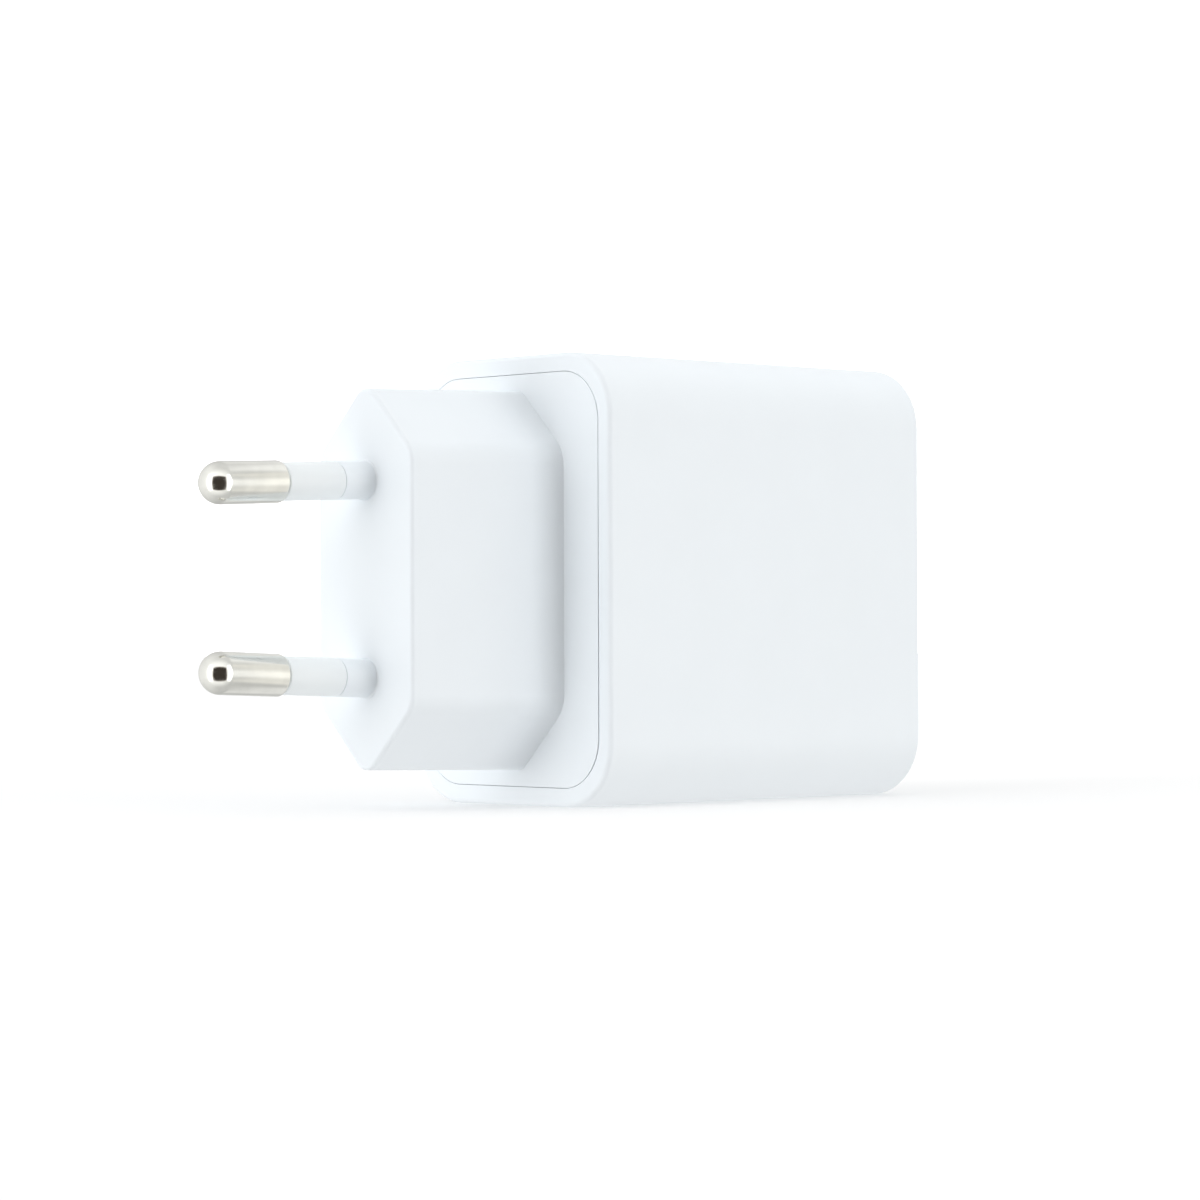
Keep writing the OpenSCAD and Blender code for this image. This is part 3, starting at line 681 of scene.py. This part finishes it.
def pin(name, axis):
    """A pin from the end of its tail, over its flange and core, to the dome at its tip."""
    back, front = -FLANGE_S - FLANGE_T, -FLANGE_S
    profile = [(0, -TAIL_LEN), (CORE_R - TAIL_EDGE, -TAIL_LEN), (CORE_R, -TAIL_LEN + TAIL_EDGE)]
    profile += [(CORE_R, back), (FLANGE_R - FLANGE_EDGE, back), (FLANGE_R, back + FLANGE_EDGE)]
    profile += [(FLANGE_R, front - FLANGE_EDGE), (FLANGE_R - FLANGE_EDGE, front), (CORE_R, front)]
    profile += [(CORE_R, BARE_FROM)]
    profile += arc(PIN_R - SHOULDER_R, BARE_FROM + SHOULDER_R, SHOULDER_R, -90, 0, 6)
    profile += arc(0, PIN_LEN - PIN_R, PIN_R, 0, 90, 20)
    profile[-1] = (0, PIN_LEN)
    return swept(profile, name, axis.matrix(), PIN_ROUND)


def sleeve(name, axis):
    """The thin insulating tube between a collar and a pin's bare end."""
    low, high = COLLAR_LEN + SLEEVE_GAP, BARE_FROM - SLEEVE_GAP
    middle_r, inner = SLEEVE_R - SLEEVE_EDGE, CORE_R + SLEEVE_SLACK
    profile = [(inner, low)]
    profile += arc(middle_r, low + SLEEVE_EDGE, SLEEVE_EDGE, -90, 0, 4)
    profile += arc(middle_r, high - SLEEVE_EDGE, SLEEVE_EDGE, 0, 90, 4)
    profile += [(inner, high), (inner, low)]
    return swept(profile, name, axis.matrix())


# ---------- USB port ----------

def port_shell():
    """The port's stamped shell, with four spring tabs cut in it and bent inwards."""
    inner_r = SHELL_R - SHEET_T
    outer = (SHELL_T, SHELL_W, SHELL_R, SHELL_R, 0)
    inner = (SHELL_T - 2 * SHEET_T, SHELL_W - 2 * SHEET_T, inner_r, inner_r, 0)
    mesh = bmesh.new()
    stations = [
        (inner, [(0, SHELL_BACK)]),
        (inner, [(-wider, MOUTH_Y - depth) for wider, depth in MOUTH_FLARE]),
        (outer, corner(SHELL_EDGE, MOUTH_Y - SHELL_EDGE, SHELL_EDGE, 90, 180, 3)),
        (outer, [(0, SHELL_BACK)]),
    ]
    add_rings(mesh, [section(base, inset, y) for base, path in stations for inset, y in path], closed=True)
    piece = finish_mesh(mesh, "usb_port_shell")
    windows = []
    for side in (-1, 1):
        for z in (-TAB_Z, TAB_Z):
            windows.append(((side * SHELL_T / 2 - CUT_DEEP, TAB_BACK, MID_Z + z - WINDOW_W / 2),
                (side * SHELL_T / 2 + CUT_DEEP, TAB_FRONT, MID_Z + z + WINDOW_W / 2)))
    combine(piece, blocks("windows", windows), "DIFFERENCE")
    mesh = bmesh.new()
    wall_mid = SHELL_T / 2 - SHEET_T / 2
    half = SHEET_T / 2 - 0.02
    start = TAB_BACK - 0.1
    reach = TAB_FRONT - 0.25 - start
    for side in (-1, 1):
        for z in (-TAB_Z, TAB_Z):
            rings = []
            for step in range(TAB_STEPS + 1):
                part = step / TAB_STEPS
                y = start + reach * part
                sag = TAB_BEND * math.sin(math.pi * min(1.0, part * 1.12)) ** 1.5 if part > 0 else 0
                x = side * (wall_mid - sag)
                rings.append([Vector((x + dx * half, y, MID_Z + z + dz * TAB_W / 2))
                    for dx, dz in ((-1, -1), (1, -1), (1, 1), (-1, 1))])
            made = add_rings(mesh, rings)
            mesh.faces.new(made[0])
            mesh.faces.new(made[-1])
    tabs = finish_mesh(mesh, "tabs")
    combine(piece, tabs, "UNION")
    legs = []
    for side in (-1, 1):
        z = MID_Z + side * (SHELL_W / 2 - SHEET_T / 2)
        legs.append(((board_low.x - LEG_BELOW, SHELL_BACK + LEG_FROM, z - SHEET_T / 2),
            (board_high.x + LEG_ABOVE, SHELL_BACK + LEG_FROM + LEG_LEN, z + SHEET_T / 2)))
    combine(piece, blocks("legs", legs), "UNION")
    return piece


def port_insulator():
    """The block in the back of the port's shell, with the tongue and the contacts' slots."""
    tongue_front = insulator_high.y
    base = (SHELL_T - 2 * SHEET_T - BLOCK_SLACK, SHELL_W - 2 * SHEET_T - BLOCK_SLACK, BLOCK_R, BLOCK_R, 0)
    mesh = bmesh.new()
    stations = corner(BLOCK_EDGE, SHELL_BACK + 2 * BLOCK_EDGE, BLOCK_EDGE, 270, 180, 3)
    stations += corner(BLOCK_EDGE, BLOCK_FRONT - BLOCK_EDGE, BLOCK_EDGE, 180, 90, 3)
    add_rings(mesh, [section(base, inset, y) for inset, y in stations])
    cap_ends(mesh)
    piece = finish_mesh(mesh, "usb_port_insulator")
    mesh = bmesh.new()
    shift = Vector((TONGUE_X, 0, 0))
    path = [(0, BLOCK_FRONT - 0.5), (0, tongue_front - TONGUE_TIP_R)]
    path += corner(TONGUE_TIP_R, tongue_front - TONGUE_TIP_R, TONGUE_TIP_R, 180, 90, 6)[1:]
    rings = [[point + shift for point in section((TONGUE_T, TONGUE_W, TONGUE_R, TONGUE_R, 0), inset, y)]
        for inset, y in path]
    add_rings(mesh, rings)
    cap_ends(mesh)
    combine(piece, finish_mesh(mesh, "tongue"), "UNION")
    slots = []
    low_x = TONGUE_X - TONGUE_T / 2
    for z in CONTACT_Z:
        slots.append(((low_x - 1, BLOCK_FRONT, MID_Z + z - CONTACT_W / 2 - 0.1),
            (low_x + 1, tongue_front - 0.8, MID_Z + z + CONTACT_W / 2 + 0.1)))
        slots.append(((low_x + 0.4, SHELL_BACK - 1, MID_Z + z - CONTACT_W / 2 - 0.05),
            (low_x + 0.65, BLOCK_FRONT + 1, MID_Z + z + CONTACT_W / 2 + 0.05)))
    combine(piece, blocks("slots", slots), "DIFFERENCE")
    return piece


def contact_leaves():
    """Four sprung leaves: a rolled root, a long arm, a round crown and a tip that dips into its slot."""
    joint = frame["joints"][0]
    root = in_mm(joint["pos_m"])
    crown_x, crown_y = leaf_low.x + LEAF_HALF_T, root.y + CROWN_FROM_ROOT
    tip_x, tip_y = root.x - 0.15, leaf_high.y
    crown = (crown_y - root.y) / (tip_y - root.y)
    centre = []
    for step in range(LEAF_STEPS + 1):
        part = step / LEAF_STEPS
        y = root.y + (tip_y - root.y) * part
        if part <= crown:
            share = math.sin(math.pi / 2 * part / crown) ** 1.3
            x = root.x + (crown_x - root.x) * share
        else:
            share = math.sin(math.pi / 2 * (part - crown) / (1 - crown) - math.pi / 2) + 1
            x = crown_x + (tip_x - crown_x) * share
        centre.append(Vector((x, y)))
    front, rear = [], []
    for i, point in enumerate(centre):
        run = (centre[min(i + 1, LEAF_STEPS)] - centre[max(i - 1, 0)]).normalized()
        side = Vector((run.y, -run.x)) * LEAF_HALF_T
        front.append(point + side)
        rear.append(point - side)
    flat = rear + front[::-1]
    mesh = bmesh.new()
    for z in CONTACT_Z:
        rings = []
        for height in (-CONTACT_W / 2, CONTACT_W / 2):
            rings.append([Vector((point.x, point.y, MID_Z + z + height)) for point in flat])
        made = add_rings(mesh, rings)
        for ring in made:
            for i in range(LEAF_STEPS):
                mesh.faces.new((ring[i], ring[i + 1], ring[-2 - i], ring[-1 - i]))
        roll = []
        for height in (-CONTACT_W / 2 + 0.01, CONTACT_W / 2 - 0.01):
            turns = [2 * math.pi * i / 24 for i in range(24)]
            roll.append([Vector((root.x + BARREL_R * math.cos(turn),
                root.y + BARREL_R * math.sin(turn), MID_Z + z + height)) for turn in turns])
        ends = add_rings(mesh, roll)
        mesh.faces.new(ends[0])
        mesh.faces.new(ends[1])
    return finish_mesh(mesh, "usb_contact_leaves")


place_piece(housing_moulding(), "shell_plastic", "housing")
place_piece(plug_cover_moulding(), "shell_plastic", "plug_cover")
place_piece(pin("plug_pin_live", live_axis), "plated_pin", "pin_live", turned=True)
place_piece(pin("plug_pin_neutral", neutral_axis), "plated_pin", "pin_neutral", turned=True)
place_piece(sleeve("insulating_sleeve_live", live_axis), "sleeve_plastic", "pin_sleeve_live", turned=True)
place_piece(sleeve("insulating_sleeve_neutral", neutral_axis), "sleeve_plastic", "pin_sleeve_neutral",
    turned=True)
place_piece(port_shell(), "port_steel", "usb_shell")
place_piece(port_insulator(), "port_plastic", "usb_insulator")
place_piece(contact_leaves(), "contact_brass", "usb_contact_springs", body="contact_springs")


# ---------- floor, light tent and camera ----------

FLOOR_HALF = 3.0
BACKDROP_R, BACKDROP_H, BACKDROP_GLOW = 2.6, 4.0, 1.0
FLOOR_GLOW = 0.05
CAMERA_AZIMUTH = math.radians(46.9)
CAMERA_TILT = math.radians(-0.5)
CAMERA_ROLL = math.radians(-0.2)
CAMERA_LENS = 115
CAMERA_DISTANCE = 371.6
AIM_RIGHT, AIM_UP = 8.67, 19.84


def finish_stage(thing, name, glow):
    """A matt pale finish. The tent lights the object from every side, through the floor and wall."""
    look = Shading(name)
    look.join(look.blend(look.span(look.noise(400.0, 2.0), 0, 1), (0.90, 0.90, 0.90), (0.91, 0.91, 0.91)),
        look.shader.inputs["Base Color"])
    look.set(Roughness=1.0, Specular_IOR_Level=0.0, Emission_Color=(1, 1, 1, 1), Emission_Strength=glow)
    thing.data.materials.append(look.material)
    thing.visible_diffuse = thing.visible_glossy = thing.visible_shadow = False


def make_floor():
    """A flat pale floor."""
    mesh = bmesh.new()
    bmesh.ops.create_grid(mesh, x_segments=24, y_segments=24, size=FLOOR_HALF)
    finish_stage(to_object(mesh, "studio_floor"), "pale studio floor", FLOOR_GLOW)


def make_backdrop():
    """A round white wall that only the camera sees, so that the tent's own shading stays out of view."""
    mesh = bmesh.new()
    bmesh.ops.create_cone(mesh, segments=96, radius1=BACKDROP_R, radius2=BACKDROP_R, depth=BACKDROP_H,
        cap_ends=False, matrix=Matrix.Translation((0, 0, BACKDROP_H / 2 - 0.01)))
    finish_stage(to_object(mesh, "studio_backdrop"), "white studio backdrop", BACKDROP_GLOW)


def make_tent():
    """A white light tent, made of levels by direction: lobes, soft lamps, a pale wall and a dark window."""
    world = bpy.data.worlds.new("light tent")
    bpy.context.scene.world = world
    world.use_nodes = True
    nodes, links = world.node_tree.nodes, world.node_tree.links
    background = nodes["Background"]
    direction = nodes.new("ShaderNodeTexCoord").outputs["Generated"]

    def dot(vector):
        node = nodes.new("ShaderNodeVectorMath")
        node.operation = "DOT_PRODUCT"
        node.inputs[1].default_value = vector
        links.new(direction, node.inputs[0])
        return node.outputs["Value"]

    def maths(operation, first, second=0.0):
        node = nodes.new("ShaderNodeMath")
        node.operation = operation
        for socket, value in zip(node.inputs, (first, second)):
            if isinstance(value, (int, float)):
                socket.default_value = value
            else:
                links.new(value, socket)
        return node.outputs["Value"]

    def smooth(value, start, end, low, high):
        node = nodes.new("ShaderNodeMapRange")
        node.interpolation_type = "SMOOTHSTEP"
        for name, number in (("From Min", start), ("From Max", end), ("To Min", low), ("To Max", high)):
            node.inputs[name].default_value = number
        links.new(value, node.inputs["Value"])
        return node.outputs["Result"]

    def patch(azimuth, elevation, half_wide, half_high, soft):
        """1 inside a soft-edged rectangle of directions and 0 outside it."""
        a, e = math.radians(azimuth), math.radians(elevation)
        ahead = Vector((math.sin(a) * math.cos(e), -math.cos(a) * math.cos(e), math.sin(e)))
        right = Vector((math.cos(a), math.sin(a), 0))
        up = right.cross(ahead) * -1
        forward = dot(ahead)
        inside = smooth(forward, 0.0, 0.1, 0.0, 1.0)
        for axis, half in ((right, half_wide), (up, half_high)):
            edge = math.tan(math.radians(half))
            slope = maths("ABSOLUTE", maths("DIVIDE", dot(axis), maths("MAXIMUM", forward, 0.01)))
            inside = maths("MULTIPLY", inside, smooth(slope, edge * (1 - soft), edge * (1 + soft), 1.0, 0.0))
        return inside

    def heading(azimuth):
        return dot((math.sin(math.radians(azimuth)), -math.cos(math.radians(azimuth)), 0))

    level = TENT_LEVEL
    for lobe in TENT_LOBES:
        source, start, end, amount = lobe
        facing = dot((0, 0, source)) if abs(source) == 1 else heading(source)
        level = maths("ADD", level, smooth(facing, start, end, 0.0, amount))
    skyline = maths("ABSOLUTE", dot((0, 0, 1)))
    level = maths("ADD", level, smooth(skyline, 0.2, 0.5, SKYLINE_LEVEL, 0.0))

    def mixed(factor, first, second, kind="FLOAT"):
        node = nodes.new("ShaderNodeMix")
        node.data_type = kind
        for name, value in (("A", first), ("B", second)):
            socket = next(s for s in node.inputs if s.name == name and s.enabled)
            if isinstance(value, (int, float, tuple)):
                socket.default_value = value
            else:
                links.new(value, socket)
        links.new(factor, next(s for s in node.inputs if s.name == "Factor" and s.enabled))
        return next(s for s in node.outputs if s.enabled)

    wall = patch(*WALL_PLACE)
    level = mixed(wall, level, WALL_LEVEL)
    for place, amount in TENT_LAMPS:
        level = maths("ADD", level, maths("MULTIPLY", patch(*place), amount))
    window = patch(*WINDOW_PLACE)
    level = mixed(window, level, WINDOW_LEVEL)
    colour = mixed(wall, (*TENT_COLOUR, 1.0), (*WALL_COLOUR, 1.0), "RGBA")
    colour = mixed(window, colour, (*WINDOW_COLOUR, 1.0), "RGBA")
    links.new(colour, background.inputs["Color"])
    links.new(level, background.inputs["Strength"])


# Level of the tent's cloth. A lobe adds an amount towards the top, the bottom or a heading, and says
# between which cosines from that direction the amount grows.
TENT_LEVEL = 0.66
UP, DOWN = 1, -1
TENT_LOBES = (
    (UP, 0.0, 1.0, 0.25),
    (DOWN, 0.0, 1.0, 0.08),
    (47.0, 0.07, 0.93, 0.75),
    (-42.0, 0.0, 1.0, 0.47),
    (245.0, 0.0, 1.0, -0.11),
)
SKYLINE_LEVEL = 0.10
TENT_COLOUR = (0.995, 1.0, 1.003)
# Patches are azimuth, elevation, half width, half height and softness of the edge
WALL_PLACE = (161.0, 0.0, 31.0, 38.0, 0.15)
WALL_LEVEL = 1.04
WALL_COLOUR = (1.01, 1.0, 0.965)
TENT_LAMPS = (
    ((133.0, 0.0, 30.0, 12.5, 0.8), 0.40),
    ((-6.0, 0.0, 12.0, 38.0, 0.15), 0.90),
    ((108.0, 0.0, 12.0, 38.0, 0.15), 1.36),
    ((224.0, 0.0, 22.0, 24.0, 0.6), 0.33),
    ((208.0, 36.0, 14.0, 12.0, 0.5), 0.27),
    ((172.0, 46.0, 16.0, 9.0, 0.5), 0.36),
    ((192.0, -46.0, 20.0, 9.0, 0.5), 0.32),
)
WINDOW_PLACE = (50.0, -4.5, 38.0, 38.5, 0.10)
WINDOW_LEVEL = 0.05
WINDOW_COLOUR = (1.1, 0.9, 0.75)


def make_camera():
    """A long lens at the level of the object, turned a little to the right of the pins."""
    data = bpy.data.cameras.new("camera")
    data.lens = CAMERA_LENS
    data.sensor_width = 36
    data.clip_start, data.clip_end = 0.01, 20
    camera = bpy.data.objects.new("camera", data)
    bpy.context.scene.collection.objects.link(camera)
    a, e, roll = CAMERA_AZIMUTH, CAMERA_TILT, CAMERA_ROLL
    back = Vector((math.sin(a) * math.cos(e), -math.cos(a) * math.cos(e), math.sin(e)))
    right = Vector((math.cos(a), math.sin(a), 0))
    up = back.cross(right)
    aim = Vector((0, FRONT_Y, AIM_UP)) + right * AIM_RIGHT
    turn = Matrix((math.cos(roll) * right + math.sin(roll) * up,
        math.cos(roll) * up - math.sin(roll) * right, back)).transposed()
    camera.matrix_world = Matrix.Translation((aim + back * CAMERA_DISTANCE) * MM) @ turn.to_4x4()
    bpy.context.scene.camera = camera


make_floor()
make_backdrop()
make_tent()
make_camera()
bpy.context.scene.view_settings.view_transform = "Standard"
